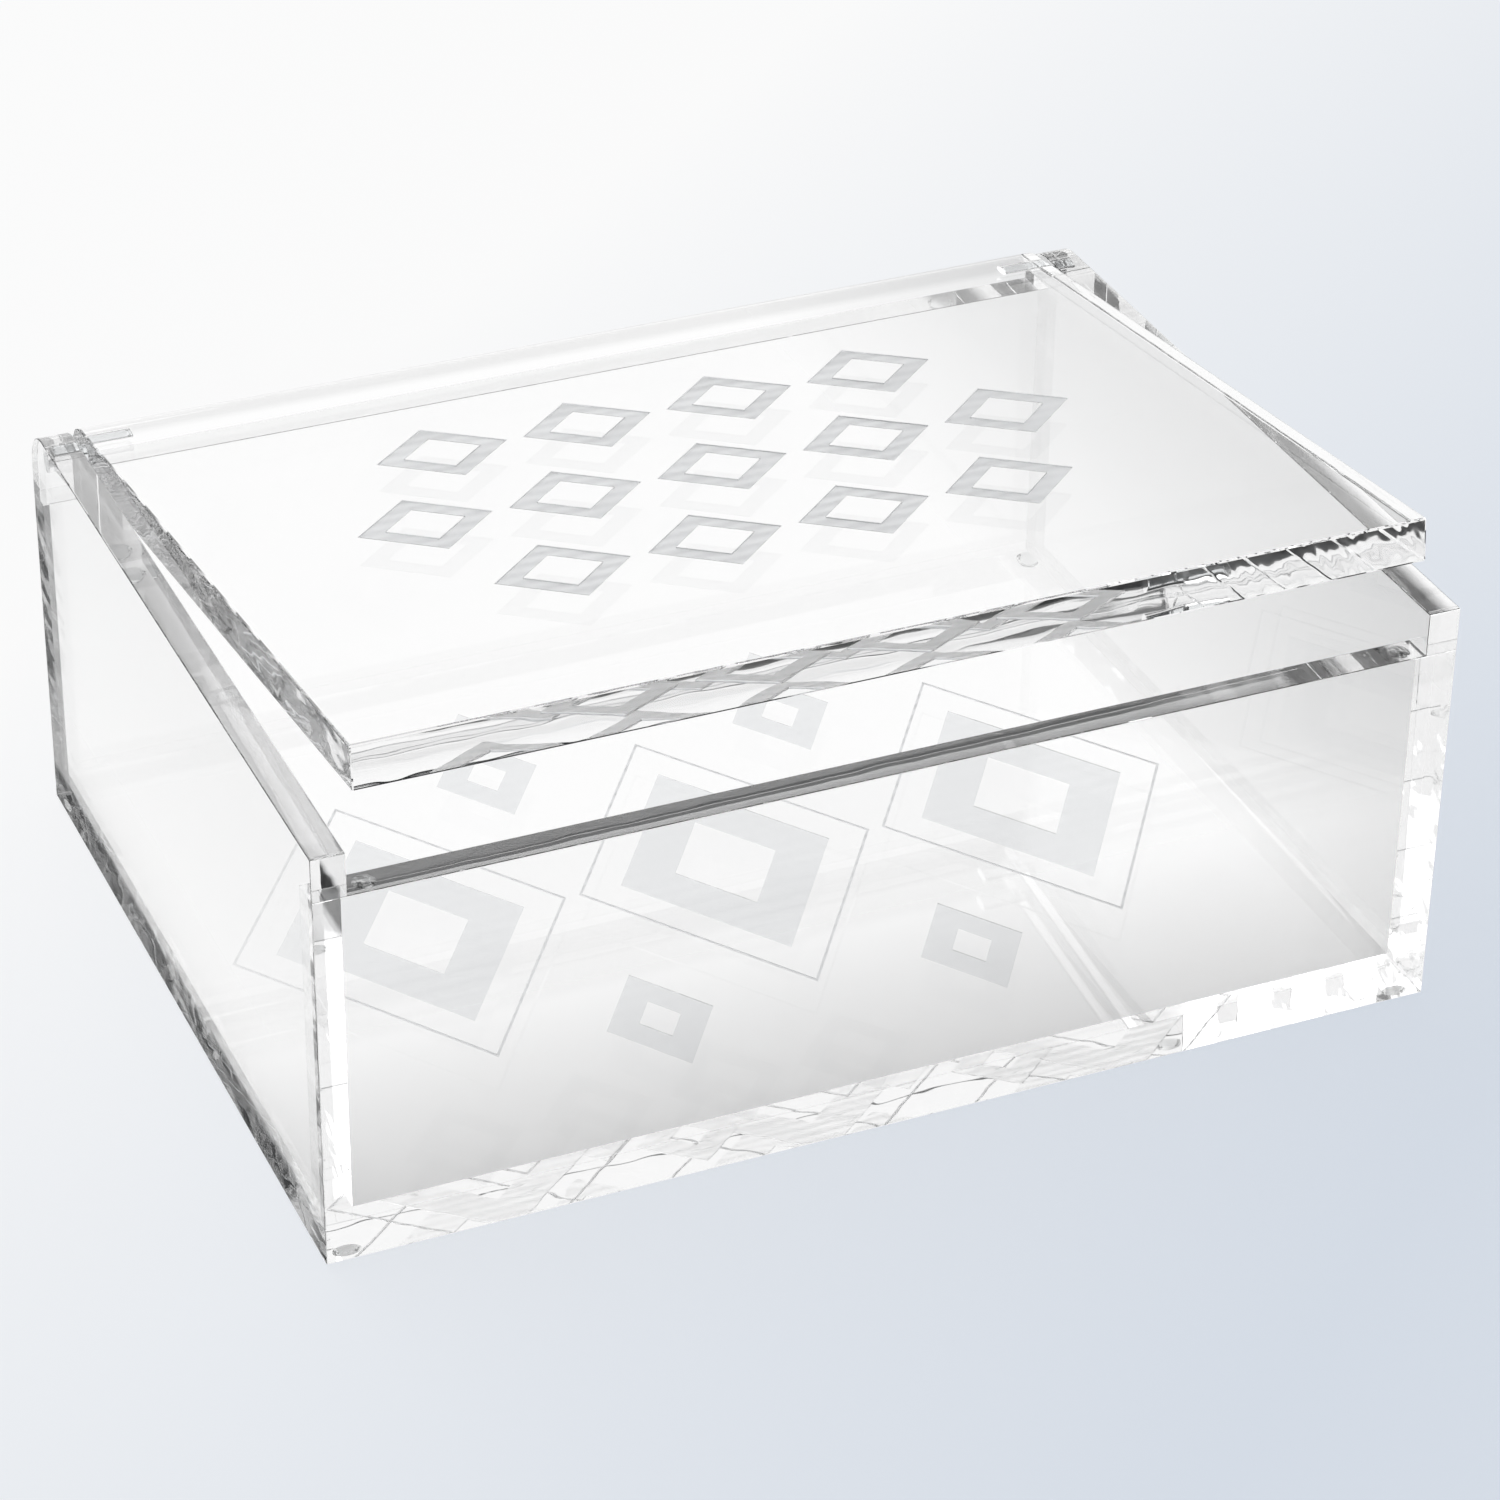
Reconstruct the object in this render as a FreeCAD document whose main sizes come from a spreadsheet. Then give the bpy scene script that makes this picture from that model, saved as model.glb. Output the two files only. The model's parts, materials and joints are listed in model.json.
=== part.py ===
import FreeCAD, Part
import math
import os
import re
import Sketcher

# Clear acrylic storage box with a pin-hinged lid. Millimetres, +Z up, front at -Y.
# The origin lies on the table, under the middle of the box.

doc = FreeCAD.newDocument("storage_box")

# Driving dimensions: alias and value.
SIZES = [
    # Whole box
    ("box_width", 330.0),
    ("box_depth", 248.0),
    ("box_height", 127.0),          # underside of the base to the top of the side walls
    ("wall_thickness", 9.5),
    ("base_thickness", 12.7),
    ("front_step", 13.0),           # front wall's top below the side walls' top
    # Lid
    ("lid_thickness", 12.7),
    ("lid_side_gap", 2.5),          # lid to side wall, each side
    ("lid_rear_radius", 11.5),      # round on the rear top edge
    ("lid_edge_bevel", 0.6),
    ("ajar_angle", 7.0),            # degrees that the stored lid stands open
    # Hinge
    ("ear_radius", 12.7),           # round on the side walls' rear top corner
    ("pin_diameter", 6.35),
    ("pin_bevel", 0.5),
    ("pin_setback", 15.0),          # pin axis to the rear face
    ("pin_wall_bore", 7.5),         # depth of the blind bore in a side wall
    ("pin_lid_bore", 14.0),         # depth of the blind bore in the lid
    ("pin_end_clearance", 0.3),     # pin to the bottom of each bore
    ("cement_clearance", 0.02),     # radial, pin in the side wall
    ("running_clearance", 0.05),    # radial, pin in the lid
    ("swing_clearance", 0.6),       # lid's rear corner to the back wall's top
    # Clear bumper dots on the front wall, and feet under the base
    ("dot_diameter", 6.4),
    ("dot_height", 1.2),
    ("dot_inset", 6.0),             # dot's centre to the side wall's inner face
    ("dot_clearance", 0.2),         # closed lid above a dot
    ("foot_top_diameter", 8.0),
    ("foot_tip_diameter", 6.6),
    ("foot_height", 1.6),
    ("foot_inset", 7.0),            # foot's centre to the base's edges
]

sheet = doc.addObject("Spreadsheet::Sheet", "Sizes")
for row, (alias, value) in enumerate(SIZES, start=1):
    sheet.set(f"A{row}", alias)
    sheet.set(f"B{row}", str(value))
    sheet.setAlias(f"B{row}", alias)
doc.recompute()

# Sketches start at this size; the sheet then sets each dimension.
FIRST_SIZE = 1.0

# Places that several pieces share, written in the driving dimensions.
BASE_UNDER = "foot_height"
BASE_TOP = "(foot_height + base_thickness)"
WALL_RISE = "(box_height - base_thickness)"
WALL_TOP = "(foot_height + box_height)"
PIN_DROP = "(front_step - dot_height - dot_clearance - lid_thickness / 2)"
TAIL_REACH = "sqrt(pin_setback ^ 2 + lid_thickness ^ 2 / 4)"
BACK_STEP = f"({PIN_DROP} + {TAIL_REACH} + swing_clearance)"
PIN_Y = "(box_depth / 2 - pin_setback)"
PIN_Z = f"({WALL_TOP} - {PIN_DROP})"
INNER_HALF = "(box_width / 2 - wall_thickness)"
LID_WIDTH = f"(2 * {INNER_HALF} - 2 * lid_side_gap)"

ALIASES = re.compile(r"\b(" + "|".join(alias for alias, value in SIZES) + r")\b")


def cells(expression):
    """The same expression, with each alias read from the sheet."""
    return ALIASES.sub(r"Sizes.\1", expression)


def bind(thing, **expressions):
    for name, expression in expressions.items():
        thing.setExpression(name, cells(expression))


def place(thing, x="0", y="0", z="0"):
    for axis, expression in zip("xyz", (x, y, z)):
        thing.setExpression(f"Placement.Base.{axis}", cells(expression))


def make_body(label):
    body = doc.addObject("PartDesign::Body", label)
    body.Label = label
    return body


def make_sketch(body, name, role, offset=None):
    """A sketch on one of the body's own planes, moved along its normal by offset."""
    sketch = body.newObject("Sketcher::SketchObject", name)
    plane = [f for f in body.Origin.OriginFeatures if f.Role == role][0]
    sketch.AttachmentSupport = [(plane, "")]
    sketch.MapMode = "FlatFace"
    if offset:
        sketch.setExpression("AttachmentOffset.Base.z", cells(offset))
    return sketch


def hold_coordinate(sketch, index, point, kind, expression):
    """Ties one coordinate of a point to an expression; a leading minus sets the side."""
    if expression == "0":
        axis = -2 if kind == "DistanceX" else -1
        sketch.addConstraint(Sketcher.Constraint("PointOnObject", index, point, axis))
        return
    if expression.startswith("-"):
        ends = (index, point, -1, 1)
    else:
        ends = (-1, 1, index, point)
    number = sketch.addConstraint(Sketcher.Constraint(kind, *ends, FIRST_SIZE))
    sketch.setExpression(f"Constraints[{number}]", cells(expression.lstrip("-")))


def draw_outline(sketch, points):
    """A closed outline of straight lines through points given as expressions."""
    count = len(points)
    turns = [2 * math.pi * i / count for i in range(count)]
    ring = [FreeCAD.Vector(math.cos(turn), math.sin(turn), 0) * FIRST_SIZE for turn in turns]
    for i in range(count):
        sketch.addGeometry(Part.LineSegment(ring[i], ring[(i + 1) % count]), False)
    for i in range(count):
        sketch.addConstraint(Sketcher.Constraint("Coincident", i, 2, (i + 1) % count, 1))
    for i, (across, up) in enumerate(points):
        hold_coordinate(sketch, i, 1, "DistanceX", across)
        hold_coordinate(sketch, i, 1, "DistanceY", up)


def draw_circle(sketch, diameter, across="0", up="0"):
    sketch.addGeometry(Part.Circle(FreeCAD.Vector(), FreeCAD.Vector(0, 0, 1), FIRST_SIZE), False)
    number = sketch.addConstraint(Sketcher.Constraint("Diameter", 0, 2 * FIRST_SIZE))
    sketch.setExpression(f"Constraints[{number}]", cells(diameter))
    hold_coordinate(sketch, 0, 3, "DistanceX", across)
    hold_coordinate(sketch, 0, 3, "DistanceY", up)


def edge_names(feature, wanted):
    """Names of the feature's edges that the test picks."""
    doc.recompute()
    return [f"Edge{i}" for i, edge in enumerate(feature.Shape.Edges, start=1) if wanted(edge)]


def runs_along_x(edge):
    first, last = edge.Vertexes[0].Point, edge.Vertexes[-1].Point
    return math.hypot(last.y - first.y, last.z - first.z) < abs(last.x - first.x)


def rear_top_edge(feature):
    """The edge along x that lies furthest to the rear and top."""
    doc.recompute()
    reach = [
        edge.CenterOfMass.y + edge.CenterOfMass.z if runs_along_x(edge) else -math.inf
        for edge in feature.Shape.Edges
    ]
    return [f"Edge{reach.index(max(reach)) + 1}"]


def bore(body, sketch, depth, reversed_cut):
    """Sinks the sketched circle into the body and makes sure that it cut."""
    doc.recompute()
    before = body.Shape.Volume
    pocket = body.newObject("PartDesign::Pocket", "Bore")
    pocket.Profile = sketch
    pocket.Reversed = reversed_cut
    bind(pocket, Length=depth)
    doc.recompute()
    if not body.Shape.Volume < before:
        raise RuntimeError(f"{body.Label}: the bore cuts nothing")
    return pocket


def make_plate(label, length, width, height, x, y, z):
    """A flat cut sheet with square polished edges."""
    plate = doc.addObject("Part::Box", label)
    plate.Label = label
    bind(plate, Length=length, Width=width, Height=height)
    place(plate, x, y, z)
    return plate


def make_side_wall(label, side):
    """A side wall: a horn over the front wall, and a rounded hinge ear over the back wall.

    side is -1 for the left wall and 1 for the right. The body's own x = 0 is the outer face.
    """
    body = make_body(label)
    outline = make_sketch(body, "WallOutline", "YZ_Plane")
    under_horn = f"{WALL_RISE} - front_step"
    under_ear = f"{WALL_RISE} - {BACK_STEP}"
    draw_outline(outline, [
        ("wall_thickness", "0"),
        ("box_depth - wall_thickness", "0"),
        ("box_depth - wall_thickness", under_ear),
        ("box_depth", under_ear),
        ("box_depth", WALL_RISE),
        ("0", WALL_RISE),
        ("0", under_horn),
        ("wall_thickness", under_horn),
    ])
    sheet_pad = body.newObject("PartDesign::Pad", "Sheet")
    sheet_pad.Profile = outline
    sheet_pad.Reversed = side > 0
    bind(sheet_pad, Length="wall_thickness")
    doc.recompute()

    ear = body.newObject("PartDesign::Fillet", "Ear")
    ear.Base = (sheet_pad, rear_top_edge(sheet_pad))
    bind(ear, Radius="ear_radius")

    inner_face = "wall_thickness" if side < 0 else "-wall_thickness"
    circle = make_sketch(body, "PinCircle", "YZ_Plane", inner_face)
    draw_circle(
        circle,
        "pin_diameter + 2 * cement_clearance",
        "box_depth - pin_setback",
        f"{WALL_RISE} - {PIN_DROP}",
    )
    bore(body, circle, "pin_wall_bore", side > 0)
    place(body, f"{side} * box_width / 2", "-box_depth / 2", BASE_TOP)
    return body


def make_lid():
    """The lid: one thick slab, hinged on two blind bores in its ends.

    The body's own origin is the middle of the hinge axis.
    """
    body = make_body("lid_panel")
    outline = make_sketch(body, "LidOutline", "YZ_Plane")
    front = "-(box_depth - pin_setback)"
    half = "lid_thickness / 2"
    draw_outline(outline, [
        (front, f"-({half})"),
        ("pin_setback", f"-({half})"),
        ("pin_setback", half),
        (front, half),
    ])
    slab = body.newObject("PartDesign::Pad", "Slab")
    slab.Profile = outline
    slab.SideType = "Symmetric"
    bind(slab, Length=LID_WIDTH)
    doc.recompute()

    rear = body.newObject("PartDesign::Fillet", "RearRound")
    rear.Base = (slab, rear_top_edge(slab))
    bind(rear, Radius="min(lid_rear_radius; lid_thickness - 2 * lid_edge_bevel)")
    doc.recompute()

    # The bevel runs round the sharp edges; the two seams of the round are smooth and stay.
    limits = rear.Shape.BoundBox

    def is_sharp(edge):
        at_front = math.isclose(edge.CenterOfMass.y, limits.YMin)
        at_underside = math.isclose(edge.CenterOfMass.z, limits.ZMin)
        return at_front or at_underside or not runs_along_x(edge)

    bevel = body.newObject("PartDesign::Chamfer", "EdgeBevel")
    bevel.Base = (rear, edge_names(rear, is_sharp))
    bind(bevel, Size="lid_edge_bevel")

    for side in (-1, 1):
        end_face = f"{side} * {LID_WIDTH} / 2"
        circle = make_sketch(body, "LidPinCircle", "YZ_Plane", end_face)
        draw_circle(circle, "pin_diameter + 2 * running_clearance")
        bore(body, circle, "pin_lid_bore", side < 0)
    body.Placement = FreeCAD.Placement(
        FreeCAD.Vector(), FreeCAD.Rotation(FreeCAD.Vector(-1, 0, 0), FIRST_SIZE)
    )
    place(body, "0", PIN_Y, PIN_Z)
    bind(body, **{"Placement.Rotation.Angle": "ajar_angle"})
    return body


def make_pin(label, side):
    """A hinge pin: a clear rod cemented in the side wall and running in the lid."""
    body = make_body(label)
    circle = make_sketch(body, "RodCircle", "YZ_Plane")
    draw_circle(circle, "pin_diameter")
    rod = body.newObject("PartDesign::Pad", "Rod")
    rod.Profile = circle
    bind(rod, Length="pin_wall_bore + lid_side_gap + pin_lid_bore - 2 * pin_end_clearance")
    doc.recompute()
    ends = body.newObject("PartDesign::Chamfer", "RodEnds")
    ends.Base = (rod, edge_names(rod, lambda edge: not runs_along_x(edge)))
    bind(ends, Size="pin_bevel")
    outer_end = f"({INNER_HALF} + pin_wall_bore - pin_end_clearance)"
    inner_end = f"({INNER_HALF} - lid_side_gap - pin_lid_bore + pin_end_clearance)"
    place(body, f"-{outer_end}" if side < 0 else inner_end, PIN_Y, PIN_Z)
    return body


def make_dot(label, side):
    """A domed bumper dot on the front wall, which the closed lid comes down on."""
    dome_radius = "((dot_diameter ^ 2 / 4 + dot_height ^ 2) / (2 * dot_height))"
    dome = doc.addObject("Part::Sphere", label)
    dome.Label = label
    bind(dome, Radius=dome_radius, Angle1=f"asin(1 - dot_height / {dome_radius})")
    place(
        dome,
        f"{side} * ({INNER_HALF} - dot_inset)",
        "wall_thickness / 2 - box_depth / 2",
        f"{WALL_TOP} - front_step - {dome_radius} + dot_height",
    )
    return dome


def make_foot(label, side, end):
    """A tapered bumper foot, wide end up against the base."""
    foot = doc.addObject("Part::Cone", label)
    foot.Label = label
    bind(foot, Radius1="foot_tip_diameter / 2", Radius2="foot_top_diameter / 2", Height="foot_height")
    place(foot, f"{side} * (box_width / 2 - foot_inset)", f"{end} * (box_depth / 2 - foot_inset)")
    return foot


pieces = [
    make_plate(
        "base_plate", "box_width", "box_depth", "base_thickness",
        "-box_width / 2", "-box_depth / 2", BASE_UNDER,
    ),
    make_plate(
        "front_wall", "box_width", "wall_thickness", f"{WALL_RISE} - front_step",
        "-box_width / 2", "-box_depth / 2", BASE_TOP,
    ),
    make_plate(
        "back_wall", "box_width", "wall_thickness", f"{WALL_RISE} - {BACK_STEP}",
        "-box_width / 2", "box_depth / 2 - wall_thickness", BASE_TOP,
    ),
    make_side_wall("left_side_wall", -1),
    make_side_wall("right_side_wall", 1),
    make_lid(),
    make_pin("left_hinge_pin", -1),
    make_pin("right_hinge_pin", 1),
    make_dot("left_lid_bumper", -1),
    make_dot("right_lid_bumper", 1),
]
for end_name, end in (("front", -1), ("rear", 1)):
    for side_name, side in (("left", -1), ("right", 1)):
        pieces.append(make_foot(f"{end_name}_{side_name}_foot", side, end))

doc.recompute()

for thing in doc.Objects:
    if "Invalid" in thing.State or "Error" in thing.State:
        raise RuntimeError(f"{thing.Label}: {thing.State}")
for piece in pieces:
    if piece.Shape.isNull() or not piece.Shape.isValid():
        raise RuntimeError(f"{piece.Label}: the shape is not valid")

os.makedirs("parts", exist_ok=True)
for piece in pieces:
    piece.Shape.exportStep(f"parts/{piece.Label}.step")
    box = piece.Shape.BoundBox
    print(
        f"{piece.Label}: {len(piece.Shape.Solids)} solid, {piece.Shape.Volume / 1000:.2f} cm3,",
        f"x {box.XMin:.2f} {box.XMax:.2f}, y {box.YMin:.2f} {box.YMax:.2f},",
        f"z {box.ZMin:.2f} {box.ZMax:.2f}",
    )
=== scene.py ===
import json
import math

import bmesh
import bpy
from mathutils import Matrix, Vector


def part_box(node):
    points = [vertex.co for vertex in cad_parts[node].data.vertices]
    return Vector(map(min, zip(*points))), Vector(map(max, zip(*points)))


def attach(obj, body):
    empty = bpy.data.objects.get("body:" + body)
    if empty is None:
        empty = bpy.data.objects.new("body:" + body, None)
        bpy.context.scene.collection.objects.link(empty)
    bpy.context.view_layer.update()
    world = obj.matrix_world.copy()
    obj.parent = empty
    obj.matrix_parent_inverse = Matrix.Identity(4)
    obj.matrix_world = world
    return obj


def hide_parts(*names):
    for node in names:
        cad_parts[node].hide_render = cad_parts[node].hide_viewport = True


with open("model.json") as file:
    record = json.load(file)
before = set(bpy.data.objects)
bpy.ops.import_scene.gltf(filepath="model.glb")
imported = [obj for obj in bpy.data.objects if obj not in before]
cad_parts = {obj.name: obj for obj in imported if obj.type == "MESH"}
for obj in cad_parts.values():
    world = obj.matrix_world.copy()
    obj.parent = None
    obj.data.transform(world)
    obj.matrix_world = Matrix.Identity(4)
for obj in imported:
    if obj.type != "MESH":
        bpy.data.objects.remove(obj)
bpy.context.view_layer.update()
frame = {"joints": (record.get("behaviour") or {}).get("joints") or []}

# Clear acrylic storage box with a slab lid that stands ajar on two rods.
# Names that end in Mm are millimetres; meshes and the stage are metres, in the frame's own axes.
mm = 0.001
hinge = frame["joints"][0]
hingePoint = Vector(hinge["pos_m"])
ajarAngle = math.radians(-hinge["range_deg"][0])    # the closed stop is this far below rest

seam = {
    "overlapMm": 0.03,      # cemented faces share a film this thick, so light passes the joint
    "filmMm": 0.05,         # air left round a rod in its bore and under a hinge ear
}


def toLinear(hexColour):
    channels = [int(hexColour[i:i + 2], 16) / 255 for i in (1, 3, 5)]
    return [c / 12.92 if c <= 0.04045 else ((c + 0.055) / 1.055) ** 2.4 for c in channels] + [1.0]


def addNode(tree, kind, inputs=None, **settings):
    node = tree.nodes.new(kind)
    for name, value in settings.items():
        setattr(node, name, value)
    for key, value in (inputs or {}).items():
        if isinstance(value, bpy.types.NodeSocket):
            tree.links.new(value, node.inputs[key])
        else:
            node.inputs[key].default_value = value
    return node


def newMaterial(name):
    material = bpy.data.materials.new(name)
    material.use_nodes = True
    tree = material.node_tree
    tree.nodes.clear()
    return material, tree, addNode(tree, "ShaderNodeOutputMaterial")


def perMetre(sizeMm):
    return 1 / (sizeMm * mm)    # noise scale for marks of this size


# Materials

castAcrylicLook = {
    "tint": "#FEFEFE", "ior": 1.491,
    "rippleMm": 8.0,            # flame-polished edges are slightly wavy
    "rippleStretch": 0.45,
    "rippleDepthMm": 0.24,
    "edgeRough": 0.035,         # flame polish is a little duller than the cast face
    "wipeMarkMm": 60.0,         # faint wiping haze on the faces
    "wipeLow": 0.45, "wipeHigh": 0.75,
    "roughLow": 0.0, "roughHigh": 0.012,
}


def makeCastAcrylic(name, look):
    # Cast sheet, colourless: sharp clear faces, cut edges polished by flame to a soft ripple.
    material, tree, output = newMaterial(name)
    place = addNode(tree, "ShaderNodeTexCoord").outputs["Object"]
    wiping = addNode(tree, "ShaderNodeTexNoise", {
        "Vector": place, "Scale": perMetre(look["wipeMarkMm"]), "Detail": 3.0})
    roughness = addNode(tree, "ShaderNodeMapRange", {
        "Value": wiping.outputs["Fac"], "From Min": look["wipeLow"], "From Max": look["wipeHigh"],
        "To Min": look["roughLow"], "To Max": look["roughHigh"]})
    stretched = addNode(tree, "ShaderNodeMapping", {
        "Vector": place, "Scale": (look["rippleStretch"], look["rippleStretch"], 1.0)})
    ripple = addNode(tree, "ShaderNodeTexNoise", {
        "Vector": stretched.outputs["Vector"], "Scale": perMetre(look["rippleMm"]), "Detail": 1.0})
    onEdges = addNode(tree, "ShaderNodeAttribute", attribute_name="cutEdge")
    height = addNode(tree, "ShaderNodeMath", {
        0: ripple.outputs["Fac"], 1: onEdges.outputs["Fac"]}, operation="MULTIPLY")
    edgeRoughness = addNode(tree, "ShaderNodeMath", {
        0: onEdges.outputs["Fac"], 1: look["edgeRough"], 2: roughness.outputs["Result"]},
        operation="MULTIPLY_ADD")
    bump = addNode(tree, "ShaderNodeBump", {
        "Strength": 1.0, "Distance": look["rippleDepthMm"] * mm, "Height": height.outputs[0]})
    shader = addNode(tree, "ShaderNodeBsdfPrincipled", {
        "Base Color": toLinear(look["tint"]), "IOR": look["ior"], "Transmission Weight": 1.0,
        "Roughness": edgeRoughness.outputs[0], "Normal": bump.outputs["Normal"]})
    tree.links.new(shader.outputs["BSDF"], output.inputs["Surface"])
    return material


frostLook = {
    "tint": "#E2E4E6", "ior": 1.491, "clearShare": 0.85,
    "bandMm": 5.65,             # bands where the beam's passes overlap
    "bandWander": 1.5,
    "gritMm": 1.4, "gritDepthMm": 0.05, "gritStrength": 0.6,
    "roughLow": 0.28, "roughHigh": 0.6,
}
waveTurns = 20 / math.tau       # waves in one unit of a wave texture at scale 1


def makeFrost(name, look):
    # Beam-engraved acrylic: a white bloom with faint bands and broken grit.
    material, tree, output = newMaterial(name)
    place = addNode(tree, "ShaderNodeTexCoord").outputs["Object"]
    bands = addNode(tree, "ShaderNodeTexWave", {
        "Vector": place, "Scale": perMetre(look["bandMm"]) / waveTurns,
        "Distortion": look["bandWander"], "Detail": 2.0}, bands_direction="Y")
    grit = addNode(tree, "ShaderNodeTexNoise", {
        "Vector": place, "Scale": perMetre(look["gritMm"]), "Detail": 4.0})
    height = addNode(tree, "ShaderNodeMath", {
        0: bands.outputs["Fac"], 1: grit.outputs["Fac"]}, operation="MULTIPLY")
    roughness = addNode(tree, "ShaderNodeMapRange", {
        "Value": height.outputs[0], "To Min": look["roughLow"], "To Max": look["roughHigh"]})
    bump = addNode(tree, "ShaderNodeBump", {
        "Strength": look["gritStrength"], "Distance": look["gritDepthMm"] * mm,
        "Height": height.outputs[0]})
    shader = addNode(tree, "ShaderNodeBsdfPrincipled", {
        "Base Color": toLinear(look["tint"]), "IOR": look["ior"],
        "Transmission Weight": look["clearShare"],
        "Roughness": roughness.outputs["Result"], "Normal": bump.outputs["Normal"]})
    tree.links.new(shader.outputs["BSDF"], output.inputs["Surface"])
    return material


rodLook = {
    "tint": "#F6F8F9", "ior": 1.491,
    "drawLineMm": 1.1, "drawStretch": 0.06, "drawDepthMm": 0.02, "drawStrength": 0.5,
    "roughLow": 0.01, "roughHigh": 0.05,
}


def makeExtrudedRod(name, look):
    # Extruded rod: clear, with draw lines along its length.
    material, tree, output = newMaterial(name)
    place = addNode(tree, "ShaderNodeTexCoord").outputs["Object"]
    along = addNode(tree, "ShaderNodeMapping", {
        "Vector": place, "Scale": (look["drawStretch"], 1.0, 1.0)})
    lines = addNode(tree, "ShaderNodeTexNoise", {
        "Vector": along.outputs["Vector"], "Scale": perMetre(look["drawLineMm"]), "Detail": 2.0})
    roughness = addNode(tree, "ShaderNodeMapRange", {
        "Value": lines.outputs["Fac"], "To Min": look["roughLow"], "To Max": look["roughHigh"]})
    bump = addNode(tree, "ShaderNodeBump", {
        "Strength": look["drawStrength"], "Distance": look["drawDepthMm"] * mm,
        "Height": lines.outputs["Fac"]})
    shader = addNode(tree, "ShaderNodeBsdfPrincipled", {
        "Base Color": toLinear(look["tint"]), "IOR": look["ior"], "Transmission Weight": 1.0,
        "Roughness": roughness.outputs["Result"], "Normal": bump.outputs["Normal"]})
    tree.links.new(shader.outputs["BSDF"], output.inputs["Surface"])
    return material


softLook = {
    "tint": "#F6F7F7", "ior": 1.5, "clearShare": 0.97,
    "cloudMm": 1.6, "roughLow": 0.02, "roughHigh": 0.1, "skinDepthMm": 0.02, "skinStrength": 0.4,
}


def makeSoftPolyurethane(name, look):
    # Poured soft polyurethane: clear, a little cloudy, with a slightly uneven skin.
    material, tree, output = newMaterial(name)
    place = addNode(tree, "ShaderNodeTexCoord").outputs["Object"]
    cloud = addNode(tree, "ShaderNodeTexNoise", {
        "Vector": place, "Scale": perMetre(look["cloudMm"]), "Detail": 2.0})
    roughness = addNode(tree, "ShaderNodeMapRange", {
        "Value": cloud.outputs["Fac"], "To Min": look["roughLow"], "To Max": look["roughHigh"]})
    bump = addNode(tree, "ShaderNodeBump", {
        "Strength": look["skinStrength"], "Distance": look["skinDepthMm"] * mm,
        "Height": cloud.outputs["Fac"]})
    shader = addNode(tree, "ShaderNodeBsdfPrincipled", {
        "Base Color": toLinear(look["tint"]), "IOR": look["ior"],
        "Transmission Weight": look["clearShare"],
        "Roughness": roughness.outputs["Result"], "Normal": bump.outputs["Normal"]})
    tree.links.new(shader.outputs["BSDF"], output.inputs["Surface"])
    return material


lightFrostLook = {**frostLook, "clearShare": 0.96, "roughLow": 0.06, "roughHigh": 0.3}     # a quicker pass

castAcrylic = makeCastAcrylic("castAcrylicClear", castAcrylicLook)
frost = makeFrost("beamEngravedFrost", frostLook)
lightFrost = makeFrost("beamBrushedFrost", lightFrostLook)
extrudedRod = makeExtrudedRod("extrudedAcrylicRod", rodLook)
softPolyurethane = makeSoftPolyurethane("softClearPolyurethane", softLook)
print("materials ready")


# Mesh helpers

def arc(centre, radius, startDeg, endDeg, steps):
    turns = [math.radians(startDeg + (endDeg - startDeg) * i / steps) for i in range(steps + 1)]
    return [(centre[0] + radius * math.cos(t), centre[1] + radius * math.sin(t)) for t in turns]


def linkedObject(name, data):
    piece = bpy.data.objects.new(name, data)
    bpy.context.scene.collection.objects.link(piece)
    return piece


gentleFold = (0.005, 0.22)      # radians between two facets of a round
sharpFold = 0.5                 # radians, the least at a real corner
facing = 0.9                    # share of a normal that counts as facing an axis


def smoothRounds(mesh):
    # Facets of a round have a gentle fold on both sides; flats keep their own normals.
    bm = bmesh.new()
    bm.from_mesh(mesh)
    gentle = {
        e for e in bm.edges if e.is_manifold and gentleFold[0] < e.calc_face_angle(0) < gentleFold[1]}
    for face in bm.faces:
        face.smooth = sum(e in gentle for e in face.edges) >= 2
    for edge in bm.edges:
        edge.smooth = edge in gentle
    bm.to_mesh(mesh)
    bm.free()


sideRipple = 0.33       # share of the ends' ripple that the long edges have


def sheetAlongX(name, outline, xLow, xHigh, flatAxis, bevelMm, isFree, isPolished):
    # A sheet with a y-z outline, run along x. Only edges that are free are broken: in a cemented
    # joint they stay sharp and fill with cement. cutEdge marks the sawn faces that were flame polished,
    # the ends most, where the saw left the deepest marks.
    bm = bmesh.new()
    ends = [[bm.verts.new((x, y, z)) for y, z in outline] for x in (xLow, xHigh)]
    for ring in ends:
        bm.faces.new(ring)
    for i in range(len(outline)):
        j = (i + 1) % len(outline)
        bm.faces.new((ends[0][i], ends[0][j], ends[1][j], ends[1][i]))
    bmesh.ops.recalc_face_normals(bm, faces=bm.faces)
    sharp = [e for e in bm.edges if e.calc_face_angle() > sharpFold]
    broken = [e for e in sharp if isFree((e.verts[0].co + e.verts[1].co) / 2)]
    bmesh.ops.bevel(bm, geom=broken, offset=bevelMm * mm, segments=2, profile=0.5, affect="EDGES")
    mesh = bpy.data.meshes.new(name)
    bm.to_mesh(mesh)
    bm.free()
    mark = mesh.attributes.new("cutEdge", "FLOAT", "FACE")
    mark.data.foreach_set("value", [
        (1.0 if abs(p.normal.x) > facing else sideRipple)
        * (abs(p.normal @ Vector(flatAxis)) < facing and isPolished(p.center)) for p in mesh.polygons])
    mesh.materials.append(castAcrylic)
    return linkedObject(name, mesh)


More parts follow.
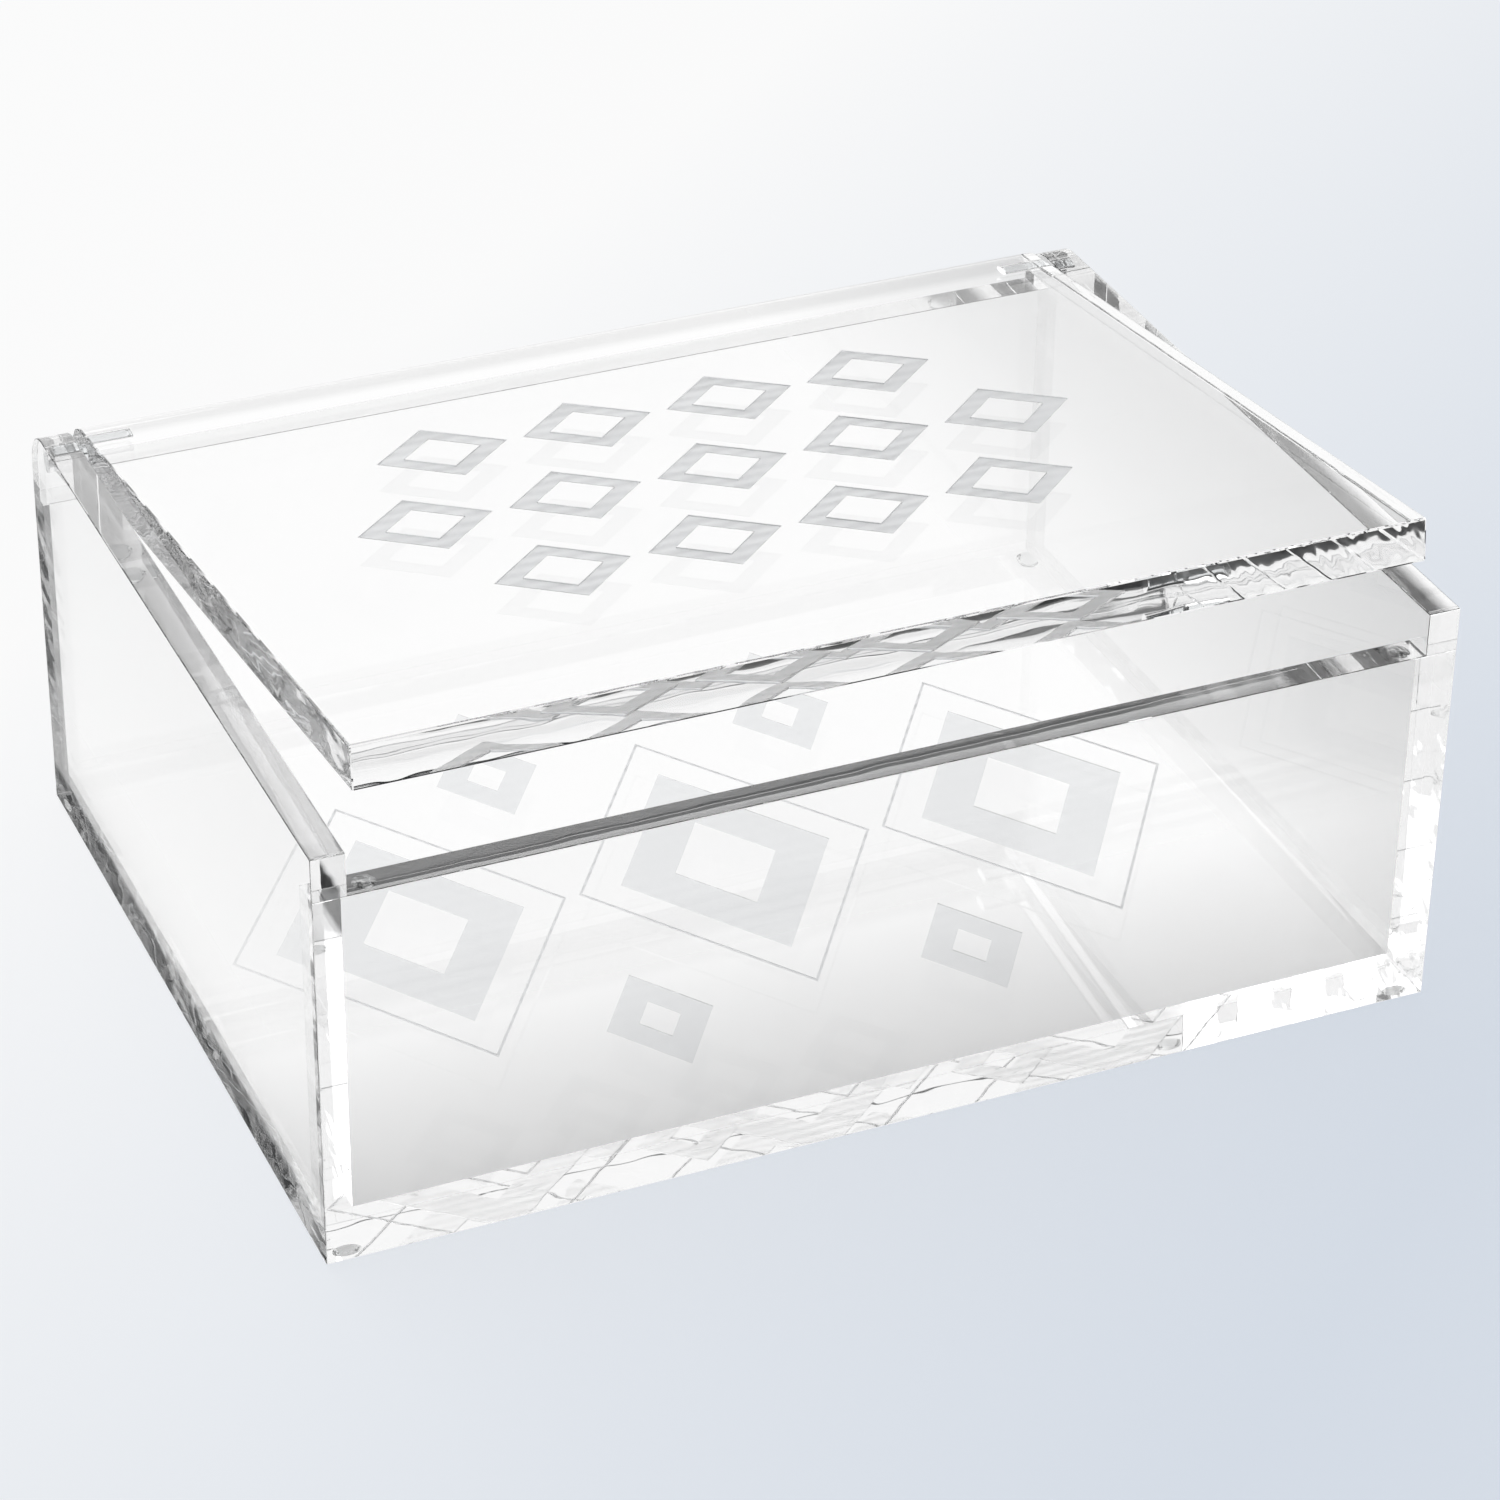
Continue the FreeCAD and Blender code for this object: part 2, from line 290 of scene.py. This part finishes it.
def turned(name, profile, steps, toPlace, material):
    # A closed solid of revolution about z; profile runs from the axis to the axis.
    bm = bmesh.new()
    rings = []
    for radius, z in profile:
        if radius == 0:
            rings.append([bm.verts.new((0, 0, z))])
            continue
        turns = [2 * math.pi * i / steps for i in range(steps)]
        rings.append([bm.verts.new((radius * math.cos(t), radius * math.sin(t), z)) for t in turns])
    for low, high in zip(rings, rings[1:]):
        for i in range(steps):
            j = (i + 1) % steps
            corners = [low[i % len(low)], low[j % len(low)], high[j % len(high)], high[i % len(high)]]
            bm.faces.new(list(dict.fromkeys(corners)))
    bmesh.ops.recalc_face_normals(bm, faces=bm.faces)
    bm.transform(toPlace)
    mesh = bpy.data.meshes.new(name)
    bm.to_mesh(mesh)
    bm.free()
    mesh.materials.append(material)
    return linkedObject(name, mesh)


def cutAway(piece, cutters):
    for cutter in cutters:
        cut = piece.modifiers.new("cut", "BOOLEAN")
        cut.operation = "DIFFERENCE"
        cut.solver = "EXACT"
        cut.material_mode = "TRANSFER"      # the cut faces take the cutter's finish
        cut.object = cutter
    evaluated = piece.evaluated_get(bpy.context.evaluated_depsgraph_get())
    plain = bpy.data.meshes.new_from_object(evaluated)
    piece.modifiers.clear()
    piece.data = plain
    for cutter in cutters:
        bpy.data.objects.remove(cutter)


def alongX(x, y, z):
    return Matrix.Translation((x, y, z)) @ Matrix.Rotation(math.radians(90), 4, "Y")


def dress(piece, body, node):
    smoothRounds(piece.data)
    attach(piece, body)
    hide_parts(node)


# Engraving: rows of open lozenges, made by one node tree

weldDistance = 1e-6     # metres, joins the ring to its raised copy


def buildLozengeTree():
    tree = bpy.data.node_groups.new("lozengeRows", "GeometryNodeTree")
    sockets = {}
    for name, kind in (
        ("Lozenge Width", "Float"), ("Lozenge Height", "Float"), ("Inner Share", "Float"),
        ("Depth", "Float"), ("Span X", "Float"), ("Span Y", "Float"),
        ("Columns", "Int"), ("Rows", "Int"), ("Finish", "Material"),
    ):
        socket = tree.interface.new_socket(name, in_out="INPUT", socket_type="NodeSocket" + kind)
        sockets[name] = socket.identifier
    tree.interface.new_socket("Geometry", in_out="OUTPUT", socket_type="NodeSocketGeometry")
    given = addNode(tree, "NodeGroupInput").outputs
    halfHeight = addNode(tree, "ShaderNodeMath", {
        0: given["Lozenge Height"], 1: 0.5}, operation="MULTIPLY")
    rim = addNode(tree, "GeometryNodeCurvePrimitiveQuadrilateral", {
        "Width": given["Lozenge Width"], "Bottom Height": halfHeight.outputs[0],
        "Top Height": halfHeight.outputs[0]}, mode="KITE")
    inner = addNode(tree, "GeometryNodeTransform", {"Geometry": rim.outputs["Curve"]})
    innerScale = addNode(tree, "ShaderNodeCombineXYZ", {
        "X": given["Inner Share"], "Y": given["Inner Share"], "Z": 1.0})
    tree.links.new(innerScale.outputs[0], inner.inputs["Scale"])
    both = addNode(tree, "GeometryNodeJoinGeometry")
    tree.links.new(inner.outputs["Geometry"], both.inputs[0])
    tree.links.new(rim.outputs["Curve"], both.inputs[0])
    ring = addNode(tree, "GeometryNodeFillCurve", {"Curve": both.outputs["Geometry"]})
    lift = addNode(tree, "ShaderNodeCombineXYZ", {"Z": given["Depth"]})
    raised = addNode(tree, "GeometryNodeExtrudeMesh", {
        "Mesh": ring.outputs["Mesh"], "Offset": lift.outputs[0], "Individual": False})
    under = addNode(tree, "GeometryNodeFlipFaces", {"Mesh": ring.outputs["Mesh"]})
    closed = addNode(tree, "GeometryNodeJoinGeometry")
    tree.links.new(raised.outputs["Mesh"], closed.inputs[0])
    tree.links.new(under.outputs["Mesh"], closed.inputs[0])
    solid = addNode(tree, "GeometryNodeMergeByDistance", {
        "Geometry": closed.outputs[0], "Distance": weldDistance})
    spots = addNode(tree, "GeometryNodeMeshGrid", {
        "Size X": given["Span X"], "Size Y": given["Span Y"],
        "Vertices X": given["Columns"], "Vertices Y": given["Rows"]})
    copies = addNode(tree, "GeometryNodeInstanceOnPoints", {
        "Points": spots.outputs["Mesh"], "Instance": solid.outputs["Geometry"]})
    real = addNode(tree, "GeometryNodeRealizeInstances", {"Geometry": copies.outputs["Instances"]})
    coated = addNode(tree, "GeometryNodeSetMaterial", {
        "Geometry": real.outputs["Geometry"], "Material": given["Finish"]})
    result = addNode(tree, "NodeGroupOutput")
    tree.links.new(coated.outputs["Geometry"], result.inputs["Geometry"])
    return tree, sockets


lozengeTree, lozengeSockets = buildLozengeTree()


def lozengeCutter(name, rows, depth, toPlace):
    # A cutter for one set of lozenges; the inner outline keeps the stroke even all round.
    halfWidth, halfHeight = rows["widthMm"] / 2, rows["heightMm"] / 2
    slant = math.hypot(halfWidth, halfHeight)
    values = {
        "Lozenge Width": rows["widthMm"] * mm, "Lozenge Height": rows["heightMm"] * mm,
        "Inner Share": 1 - rows["strokeMm"] * slant / (halfWidth * halfHeight),
        "Depth": depth, "Finish": rows["finish"],
        "Span X": rows["pitchXMm"] * (rows["columns"] - 1) * mm,
        "Span Y": rows["pitchYMm"] * (rows["rows"] - 1) * mm,
        "Columns": rows["columns"], "Rows": rows["rows"],
    }
    holder = linkedObject(name, bpy.data.meshes.new(name))
    modifier = holder.modifiers.new("lozenges", "NODES")
    modifier.node_group = lozengeTree
    for socketName, value in values.items():
        modifier[lozengeSockets[socketName]] = value
    evaluated = holder.evaluated_get(bpy.context.evaluated_depsgraph_get())
    plain = bpy.data.meshes.new_from_object(evaluated)
    holder.modifiers.clear()
    plain.transform(toPlace)
    holder.data = plain
    return holder


# Box: five cemented sheets

boxSheets = {"bevelMm": 0.3, "earRadiusMm": 12.7, "earSteps": 24}
baseLow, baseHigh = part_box("base_plate")
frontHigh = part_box("front_wall")[1]
backLow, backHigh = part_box("back_wall")
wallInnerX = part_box("right_side_wall")[0].x
overlap, film = seam["overlapMm"] * mm, seam["filmMm"] * mm


def rectangle(low, high):
    return [(low[0], low[1]), (high[0], low[1]), (high[0], high[1]), (low[0], high[1])]


baseEngraving = {
    "depthMm": 0.12,
    "sets": [
        {"widthMm": 92.0, "heightMm": 132.0, "strokeMm": 0.8, "pitchXMm": 96.0, "pitchYMm": 0.0,
         "columns": 3, "rows": 1, "finish": frost},
        {"widthMm": 66.0, "heightMm": 95.0, "strokeMm": 14.0, "pitchXMm": 96.0, "pitchYMm": 0.0,
         "columns": 3, "rows": 1, "finish": lightFrost},
        {"widthMm": 32.0, "heightMm": 46.0, "strokeMm": 8.0, "pitchXMm": 96.0, "pitchYMm": 132.0,
         "columns": 2, "rows": 2, "finish": lightFrost},
    ],
}
cutOverrun = 1 * mm     # a cutter stands this far proud of the face

basePlate = sheetAlongX(
    "basePlate", rectangle(baseLow.yz, baseHigh.yz), baseLow.x, baseHigh.x, (0, 0, 1),
    boxSheets["bevelMm"], lambda middle: middle.z < baseHigh.z, lambda middle: True)
baseDepth = baseEngraving["depthMm"] * mm
onBase = Matrix.Translation((0, 0, baseHigh.z - baseDepth))
cutAway(basePlate, [
    lozengeCutter("baseLozenges", rows, baseDepth + cutOverrun, onBase)
    for rows in baseEngraving["sets"]])
dress(basePlate, "box", "base_plate")

for pieceName, node in (("frontWall", "front_wall"), ("backWall", "back_wall")):
    low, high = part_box(node)
    outerY = max(low.y, high.y, key=abs)
    wall = sheetAlongX(
        pieceName, rectangle((low.y, low.z - overlap), high.yz), low.x, high.x, (0, 1, 0),
        boxSheets["bevelMm"],
        lambda middle: middle.z > low.z and (abs(middle.x) < wallInnerX or middle.y == outerY),
        lambda middle: middle.z > low.z)
    dress(wall, "box", node)
print("base, front and back ready")

rod = {"diameterMm": 6.35, "bevelMm": 0.5, "steps": 64}


def boreCutter(xLow, xHigh, y, z):
    radius = rod["diameterMm"] / 2 * mm + film
    length = xHigh - xLow
    return turned(
        "boreCutter", [(0, 0), (radius, 0), (radius, length), (0, length)], rod["steps"],
        alongX(xLow, y, z), castAcrylic)


for name in ("left", "right"):
    low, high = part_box(f"{name}_side_wall")
    ear = boxSheets["earRadiusMm"] * mm
    outline = [
        (frontHigh.y - overlap, low.z - overlap),
        (backLow.y + overlap, low.z - overlap),
        (backLow.y + overlap, backHigh.z + film),      # the ear clears the back wall by a film of air
        (high.y, backHigh.z + film),
        *arc((high.y - ear, high.z - ear), ear, 0, 90, boxSheets["earSteps"]),
        (low.y, high.z),
        (low.y, frontHigh.z - overlap),
        (frontHigh.y - overlap, frontHigh.z - overlap),
    ]
    earSeat, hornSeat = backHigh.z + film, frontHigh.z - overlap

    def clearOfCement(middle):
        return middle.z > earSeat + film and abs(middle.z - hornSeat) > film

    wall = sheetAlongX(
        f"{name}SideWall", outline, low.x, high.x, (1, 0, 0), boxSheets["bevelMm"],
        clearOfCement, clearOfCement)
    rodLow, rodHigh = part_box(f"{name}_hinge_pin")
    cutAway(wall, [boreCutter(rodLow.x - film, rodHigh.x + film, *hingePoint.yz)])
    dress(wall, "box", f"{name}_side_wall")

    radius = rod["diameterMm"] / 2 * mm
    bevel = rod["bevelMm"] * mm
    length = rodHigh.x - rodLow.x
    rodProfile = [
        (0, 0), (radius - bevel, 0), (radius, bevel),
        (radius, length - bevel), (radius - bevel, length), (0, length)]
    pin = turned(
        f"{name}HingeRod", rodProfile, rod["steps"], alongX(rodLow.x, *hingePoint.yz), extrudedRod)
    dress(pin, "box", f"{name}_hinge_pin")
print("side walls and rods ready")


# Lid, shaped about the hinge axis and then set ajar

lid = {
    "thicknessMm": 12.7, "rearRadiusMm": 11.5, "rearSteps": 24, "bevelMm": 0.6,
    "engravingDepthMm": 0.35,
    "sets": [
        {"widthMm": 39.0, "heightMm": 38.0, "strokeMm": 5.6, "pitchXMm": 44.0, "pitchYMm": 94.0,
         "columns": 4, "rows": 2, "finish": frost},
        {"widthMm": 39.0, "heightMm": 38.0, "strokeMm": 5.6, "pitchXMm": 44.0, "pitchYMm": 0.0,
         "columns": 5, "rows": 1, "finish": frost},
    ],
}
lidLow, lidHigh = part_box("lid_panel")
half, rearRadius = lid["thicknessMm"] / 2 * mm, lid["rearRadiusMm"] * mm
frontReach, rearReach = hingePoint.y - baseLow.y, baseHigh.y - hingePoint.y
lidOutline = [
    (-frontReach, -half),
    (rearReach, -half),
    *arc((rearReach - rearRadius, half - rearRadius), rearRadius, 0, 90, lid["rearSteps"]),
    (-frontReach, half),
]
lidPanel = sheetAlongX(
    "lidPanel", lidOutline, lidLow.x, lidHigh.x, (0, 0, 1), lid["bevelMm"],
    lambda middle: True, lambda middle: True)
lidDepth = lid["engravingDepthMm"] * mm
lidMiddle = (rearReach - frontReach) / 2
onLid = Matrix.Translation((0, lidMiddle, half - lidDepth))
lidCutters = [lozengeCutter("lidLozenges", rows, lidDepth + cutOverrun, onLid) for rows in lid["sets"]]
for name in ("left", "right"):
    rodLow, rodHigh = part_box(f"{name}_hinge_pin")
    lidCutters.append(boreCutter(rodLow.x - film, rodHigh.x + film, 0, 0))
cutAway(lidPanel, lidCutters)
lidPanel.data.transform(Matrix.Translation(hingePoint) @ Matrix.Rotation(-ajarAngle, 4, "X"))
dress(lidPanel, "lid", "lid_panel")
print("lid ready")


# Soft dots on the front wall, and feet

softDots = {"domeSteps": 10, "steps": 40}
for name in ("left", "right"):
    low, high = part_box(f"{name}_lid_bumper")
    dotRadius, dotHeight = (high.x - low.x) / 2, high.z - low.z
    sphere = (dotRadius ** 2 + dotHeight ** 2) / (2 * dotHeight)
    rimDeg = math.degrees(math.asin((sphere - dotHeight) / sphere))
    dome = arc((0, dotHeight - sphere), sphere, rimDeg, 90, softDots["domeSteps"])[:-1]
    dot = turned(
        f"{name}LidDot", [(0, -overlap), (dotRadius, -overlap), *dome, (0, dotHeight)], softDots["steps"],
        Matrix.Translation(((low.x + high.x) / 2, (low.y + high.y) / 2, low.z)), softPolyurethane)
    dress(dot, "box", f"{name}_lid_bumper")

softFeet = {"tipDiameterMm": 6.6, "tipBevelMm": 0.4, "steps": 40}
for end in ("front", "rear"):
    for name in ("left", "right"):
        low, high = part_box(f"{end}_{name}_foot")
        tip = softFeet["tipDiameterMm"] / 2 * mm
        bevel = softFeet["tipBevelMm"] * mm
        top = (high.x - low.x) / 2
        seat = high.z + overlap
        profile = [(0, 0), (tip - bevel, 0), (tip, bevel), (top, high.z), (top, seat), (0, seat)]
        foot = turned(
            f"{end}{name.capitalize()}Foot", profile, softFeet["steps"],
            Matrix.Translation(((low.x + high.x) / 2, (low.y + high.y) / 2, 0)), softPolyurethane)
        dress(foot, "box", f"{end}_{name}_foot")
print("dots and feet ready")


# Studio: a sweep, a room and a softbox. The sweep carries painted light and shade for the glass: a painted
# pool of light, and painted black that gives the clear edges something dark to show.
# A ramp is an axis, where it starts and where it is full; a list of ramps is their product.

sweep = {
    "sizeM": 12.0,
    "paleStart": "#FFFFFF", "paleEnd": "#D7DFEA",       # fades from white to a pale blue grey
    "fadeTowards": (0.633, -0.774, 0.0), "fadeFromM": -0.265, "fadeToM": 0.232,
    # paint is the sweep's own colour; the second colour is painted shade, the black the floor is painted
    # for the sheets' edges and reflections.
    "paint": "#DCDDDE", "paintedShadeColour": "#1C1D1F",
    "glowSeen": 0.88,       # share of plain glow that the camera sees, the rest is lit paint
    "paintedLightPool": [("X", -0.30, -0.14), ("X", 0.31, 0.15), ("Y", -0.19, -0.03)],       # painted pool of light: plain white glow that only the glass sees
    # Painted shade: light that ran along inside a sheet sees the floor painted black in these places.
    "trappedBounces": 1.5,
    "rightPaintedShade": [("X", 0.1535, 0.159)],
    "behindBox": [("Y", 0.10, 0.13), ("X", 0.226, 0.216)],          # the right painted shade leaves this out
    "otherPaintedShades": [
        (0.45, [("X", -0.172, -0.165), ("X", -0.145, -0.155)]),     # painted contact shadow under the left wall
        (0.65, [("Y", -0.140, -0.125), ("Y", -0.100, -0.114)]),     # painted contact shadow under the front wall
        (1.0, [("Y", 0.30, 0.36)]),                                 # painted shade at the far end
    ],
    # Painted dark reflections: reflected light sees the floor painted black at the left too. Slant is Y
    # plus slantSlope times X; it stays even along the line where the rear left corner mirrors the floor.
    "reflectedBounces": 0.5,
    "slantSlope": 3.92,
    "leftPaintedDarkReflections": [
        (1.0, [("X", -0.228, -0.242)]),                             # farther out
        (0.8, [("X", -0.1715, -0.1695), ("X", -0.163, -0.165)]),    # along the base's edge
        # beside the rear corner
        (0.8, [("slant", -0.5333, -0.5308), ("X", -0.178, -0.184), ("X", -0.212, -0.204)]),
    ],
}


def rampProduct(tree, axes, ramps, amount=1.0):
    for axis, start, full in ramps:
        ramp = addNode(tree, "ShaderNodeMapRange", {
            "Value": axes[axis], "From Min": start, "From Max": full}).outputs["Result"]
        amount = addNode(tree, "ShaderNodeMath", {0: amount, 1: ramp}, operation="MULTIPLY").outputs[0]
    return amount


def paintedShadeShare(tree, axes, paintedPatches, share=0.0):
    # How much painted shade the darkest painted patch puts at a place, from a share to begin with.
    for black, ramps in paintedPatches:
        share = addNode(tree, "ShaderNodeMath", {
            0: share, 1: rampProduct(tree, axes, ramps, black)}, operation="MAXIMUM").outputs[0]
    return share


def makeSweepWithPaintedLight(name, look):
    # Pale sweep: white far left, pale blue grey near right. It also carries a painted pool of white glow
    # that only the glass sees, and painted black that the sheets' edges and reflections show.
    material, tree, output = newMaterial(name)
    place = addNode(tree, "ShaderNodeTexCoord").outputs["Object"]
    path = addNode(tree, "ShaderNodeLightPath").outputs
    along = addNode(tree, "ShaderNodeVectorMath", {
        0: place, 1: look["fadeTowards"]}, operation="DOT_PRODUCT")
    fade = addNode(tree, "ShaderNodeMapRange", {
        "Value": along.outputs["Value"], "From Min": look["fadeFromM"], "From Max": look["fadeToM"]})
    pale = addNode(tree, "ShaderNodeMix", {
        "Factor": fade.outputs["Result"], 6: toLinear(look["paleStart"]), 7: toLinear(look["paleEnd"])},
        data_type="RGBA")
    seenTone = addNode(tree, "ShaderNodeMix", {
        "Factor": path["Is Camera Ray"], 6: toLinear(look["paleStart"]), 7: pale.outputs[2]},
        data_type="RGBA")
    glow = addNode(tree, "ShaderNodeEmission", {"Color": seenTone.outputs[2], "Strength": 1.0})

    split = addNode(tree, "ShaderNodeSeparateXYZ", {"Vector": place}).outputs
    slant = addNode(tree, "ShaderNodeMath", {
        0: split["X"], 1: look["slantSlope"], 2: split["Y"]}, operation="MULTIPLY_ADD")
    axes = {"X": split["X"], "Y": split["Y"], "slant": slant.outputs[0]}
    rightPart = addNode(tree, "ShaderNodeMath", {
        0: rampProduct(tree, axes, look["rightPaintedShade"]),
        1: rampProduct(tree, axes, look["behindBox"])}, operation="SUBTRACT", use_clamp=True)
    trapped = addNode(tree, "ShaderNodeMath", {
        0: path["Glossy Depth"], 1: look["trappedBounces"]}, operation="GREATER_THAN")
    reflected = addNode(tree, "ShaderNodeMath", {
        0: path["Glossy Depth"], 1: look["reflectedBounces"]}, operation="GREATER_THAN")
    leftPart = addNode(tree, "ShaderNodeMath", {
        0: paintedShadeShare(tree, axes, look["leftPaintedDarkReflections"]), 1: reflected.outputs[0]}, operation="MULTIPLY")
    # Painted shade: how far the floor is painted black, for light trapped in a sheet and for reflected
    # light.
    black = addNode(tree, "ShaderNodeMath", {
        0: trapped.outputs[0],
        1: paintedShadeShare(tree, axes, look["otherPaintedShades"], rightPart.outputs[0]),
        2: leftPart.outputs[0]}, operation="MULTIPLY_ADD", use_clamp=True)
    # The sweep's paint, darkened by the painted shade.
    paintAndPaintedShadeTone = addNode(tree, "ShaderNodeMix", {
        "Factor": black.outputs[0], 6: toLinear(look["paint"]), 7: toLinear(look["paintedShadeColour"])},
        data_type="RGBA")
    paint = addNode(tree, "ShaderNodeBsdfDiffuse", {"Color": paintAndPaintedShadeTone.outputs[2]})

    # Painted pool of light: rays through the glass see plain white glow here in place of the lit paint.
    through = addNode(tree, "ShaderNodeMath", {
        0: path["Is Glossy Ray"], 1: path["Is Transmission Ray"]}, operation="MAXIMUM")
    paintedLightPool = addNode(tree, "ShaderNodeMath", {
        0: rampProduct(tree, axes, look["paintedLightPool"]), 1: black.outputs[0]},
        operation="SUBTRACT", use_clamp=True)
    paintedPoolShare = addNode(tree, "ShaderNodeMath", {
        0: through.outputs[0], 1: paintedLightPool.outputs[0]}, operation="MULTIPLY")
    seenShare = addNode(tree, "ShaderNodeMath", {
        0: path["Is Camera Ray"], 1: look["glowSeen"]}, operation="MULTIPLY")
    backdropAndPaintedPoolShare = addNode(tree, "ShaderNodeMath", {
        0: paintedPoolShare.outputs[0], 1: seenShare.outputs[0]}, operation="MAXIMUM")
    mixed = addNode(tree, "ShaderNodeMixShader", {
        "Fac": backdropAndPaintedPoolShare.outputs[0], 1: paint.outputs["BSDF"], 2: glow.outputs["Emission"]})
    tree.links.new(mixed.outputs["Shader"], output.inputs["Surface"])
    return material


floorMesh = bpy.data.meshes.new("floor")
floorGrid = bmesh.new()
bmesh.ops.create_grid(floorGrid, x_segments=1, y_segments=1, size=sweep["sizeM"] / 2)
floorGrid.to_mesh(floorMesh)
floorGrid.free()
floorMesh.materials.append(makeSweepWithPaintedLight("sweepWithPaintedLightAndShade", sweep))
linkedObject("floor", floorMesh)

room = {
    "pale": "#FFFFFF", "dark": "#141516",
    # A black flag stands on either side in front and reaches overhead; ramps are shares of a direction.
    "flags": [("aside", 0.12, 0.22), ("aside", 0.62, 0.50), ("Y", 0.70, 0.55), ("Z", 0.05, 0.15)],
}
scene = bpy.context.scene
world = bpy.data.worlds.new("studioRoom")
scene.world = world
world.use_nodes = True
roomTree = world.node_tree
roomTree.nodes.clear()
direction = addNode(roomTree, "ShaderNodeSeparateXYZ", {
    "Vector": addNode(roomTree, "ShaderNodeTexCoord").outputs["Generated"]}).outputs
aside = addNode(roomTree, "ShaderNodeMath", {0: direction["X"]}, operation="ABSOLUTE").outputs[0]
roomAxes = {"aside": aside, "Y": direction["Y"], "Z": direction["Z"]}
roomTone = addNode(roomTree, "ShaderNodeMix", {
    "Factor": rampProduct(roomTree, roomAxes, room["flags"]),
    6: toLinear(room["pale"]), 7: toLinear(room["dark"])}, data_type="RGBA")
seen = addNode(roomTree, "ShaderNodeLightPath").outputs["Is Camera Ray"]
backdrop = addNode(roomTree, "ShaderNodeMix", {
    "Factor": seen, 6: roomTone.outputs[2], 7: toLinear(room["pale"])}, data_type="RGBA")
background = addNode(roomTree, "ShaderNodeBackground", {"Color": backdrop.outputs[2], "Strength": 1.0})
addNode(roomTree, "ShaderNodeOutputWorld", {"Surface": background.outputs["Background"]})

softbox = {"sizeM": 1.8, "place": (-0.7, 0.8, 1.7), "powerW": 16.0}
softboxLight = bpy.data.lights.new("softbox", "AREA")
softboxLight.shape = "SQUARE"
softboxLight.size = softbox["sizeM"]
softboxLight.energy = softbox["powerW"]
softboxObject = linkedObject("softbox", softboxLight)
softboxObject.location = softbox["place"]
softboxObject.rotation_euler = Vector(softbox["place"]).to_track_quat("Z", "Y").to_euler()

camera = {
    "lensMm": 117.45, "sensorMm": 36.0, "clipEndM": 50.0, "place": (-0.4752, -1.09918, 0.79894),
    "azimuthDeg": 23.773, "elevationDeg": 32.006, "rollDeg": 0.836,
}
azimuth = math.radians(camera["azimuthDeg"])
elevation = math.radians(camera["elevationDeg"])
roll = math.radians(camera["rollDeg"])
forward = Vector((
    math.sin(azimuth) * math.cos(elevation), math.cos(azimuth) * math.cos(elevation), -math.sin(elevation)))
right = Vector((math.cos(azimuth), -math.sin(azimuth), 0))
up = right.cross(forward)
rolledRight = right * math.cos(roll) + up * math.sin(roll)
rolledUp = up * math.cos(roll) - right * math.sin(roll)
cameraData = bpy.data.cameras.new("camera")
cameraData.lens = camera["lensMm"]
cameraData.sensor_width = camera["sensorMm"]
cameraData.clip_end = camera["clipEndM"]
cameraObject = linkedObject("camera", cameraData)
cameraObject.matrix_world = Matrix.Translation(camera["place"]) @ Matrix(
    (rolledRight, rolledUp, -forward)).transposed().to_4x4()
scene.camera = cameraObject

lightBounces = 40       # light runs far along inside the sheets before it leaves them
scene.view_settings.view_transform = "Standard"
scene.cycles.max_bounces = lightBounces
scene.cycles.transmission_bounces = lightBounces
scene.cycles.glossy_bounces = lightBounces
print("studio ready")
